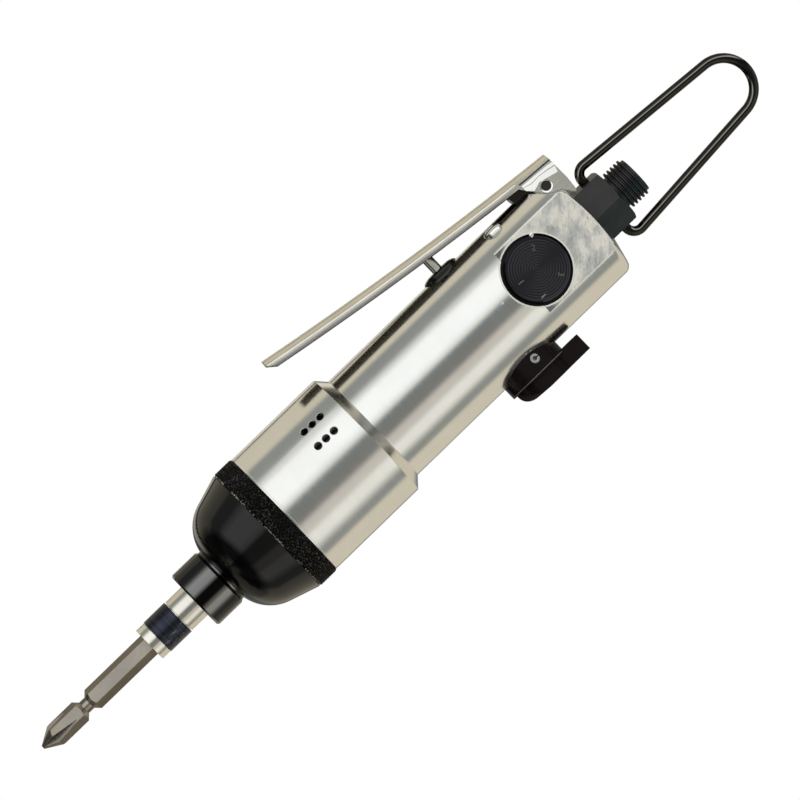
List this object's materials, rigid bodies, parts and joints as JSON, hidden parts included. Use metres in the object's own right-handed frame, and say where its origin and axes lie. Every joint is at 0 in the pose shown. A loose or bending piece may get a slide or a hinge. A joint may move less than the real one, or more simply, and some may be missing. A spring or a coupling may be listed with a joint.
{
  "type": "pneumatic screwdriver",
  "caption": "Straight reversible air impact screwdriver with a lever throttle, speed dial, double-ended bit and wire hanger.",
  "frame": {"origin": "on the tool's axis, at the inner end of the air inlet's thread", "axes": "+X along the tool from the bit to the air inlet, +Z towards the throttle lever, -Y towards the speed dial"},
  "size_m": [0.2864, 0.0448, 0.0637],
  "materials": {
    "satin_aluminium": "satin, machined",
    "black_gloss": "glossy black",
    "black_oxide": "black oxide, oiled",
    "black_plastic": "moulded",
    "bright_steel": "turned",
    "bit_steel": "warm grey, ground",
    "blued_steel": "tempered blue",
    "lever_nickel": "satin nickel",
    "bronze": "sintered",
    "cast_grey": "ground",
    "rubber": "matt",
    "laminate": "fibre laminate"
  },
  "bodies": {
    "tool": {"housing": "satin_aluminium", "hammer_case": "black_gloss", "lock_ring": "black_oxide", "case_bush": "bronze", "spacer_ring": "cast_grey", "front_plate": "cast_grey", "front_bearing_outer": "bright_steel", "front_bearing_balls": "bright_steel", "motor_liner": "cast_grey", "rear_plate": "cast_grey", "rear_bearing_outer": "bright_steel", "rear_bearing_balls": "bright_steel", "motor_dowel": "bright_steel", "motor_gasket": "rubber", "lever_pin": "bright_steel", "stem_bush": "black_plastic", "stem_oring": "rubber", "throttle_spring": "bright_steel", "detent_screw": "bright_steel", "detent_spring": "bright_steel", "detent_ball": "bright_steel", "inlet_fitting": "black_oxide", "inlet_seal": "rubber", "inlet_screen": "bright_steel"},
    "drive": {"rotor": "cast_grey", "motor_vanes": "laminate", "front_bearing_inner": "bright_steel", "rear_bearing_inner": "bright_steel", "hammer_cage": "cast_grey", "hammer_pins": "bright_steel"},
    "front_dog": {"hammer_front": "cast_grey"},
    "rear_dog": {"hammer_rear": "cast_grey"},
    "spindle": {"anvil": "bright_steel", "spring_band": "blued_steel", "bit_ball": "bright_steel", "driver_bit": "bit_steel"},
    "lever": {"throttle_lever": "lever_nickel"},
    "stem": {"valve_stem": "bright_steel", "throttle_valve": "black_plastic"},
    "reverse": {"reverse_valve": "bronze", "reverse_orings": "rubber", "reverse_knob": "black_gloss", "reverse_pin": "black_oxide", "reverse_ball": "bright_steel", "reverse_spring": "bright_steel"},
    "regulator": {"regulator_dial": "black_gloss", "regulator_oring": "rubber"},
    "hook": {"hanger": "black_oxide"}
  },
  "joints": [
    {"name": "lever_press", "type": "hinge", "parent": "tool", "child": "lever", "pos_m": [-0.0149, 0, 0.0157], "axis": [0, -1, 0], "range_deg": [0, 5], "stiffness_Nm_per_rad": 2, "springref_deg": -5.73},
    {"name": "stem_slide", "type": "slide", "parent": "tool", "child": "stem", "axis": [0, 0, -1], "range_m": [0, 0.0036], "deforming": ["throttle_spring"]},
    {"name": "reverse_turn", "type": "hinge", "parent": "tool", "child": "reverse", "pos_m": [-0.0544, 0, 0], "axis": [0, 0, 1], "range_deg": [-23.2, 0]},
    {"name": "regulator_turn", "type": "hinge", "parent": "tool", "child": "regulator", "pos_m": [-0.0342, 0, 0], "axis": [0, 1, 0], "range_deg": [-120, 120]},
    {"name": "drive_turn", "type": "hinge", "parent": "tool", "child": "drive", "pos_m": [-0.1414, 0, 0], "axis": [1, 0, 0], "continuous": true},
    {"name": "spindle_turn", "type": "hinge", "parent": "tool", "child": "spindle", "pos_m": [-0.1904, 0, 0], "axis": [1, 0, 0], "continuous": true},
    {"name": "front_dog_rock", "type": "hinge", "parent": "drive", "child": "front_dog", "pos_m": [-0.1522, 0, 0.01145], "axis": [1, 0, 0], "range_deg": [-1.4, 1.4]},
    {"name": "rear_dog_rock", "type": "hinge", "parent": "drive", "child": "rear_dog", "pos_m": [-0.1482, 0, -0.01145], "axis": [1, 0, 0], "range_deg": [-1.4, 1.4]},
    {"name": "hanger_swing", "type": "hinge", "parent": "tool", "child": "hook", "pos_m": [-0.006, 0, 0], "axis": [0, -0.165, 0.9863], "range_deg": [-90, 90]}
  ],
  "couplings": [
    {"joint": "stem_slide", "follows": "lever_press", "m_per_rad": 0.0403},
    {"joint": "spindle_turn", "follows": "drive_turn", "ratio": 1}
  ]
}
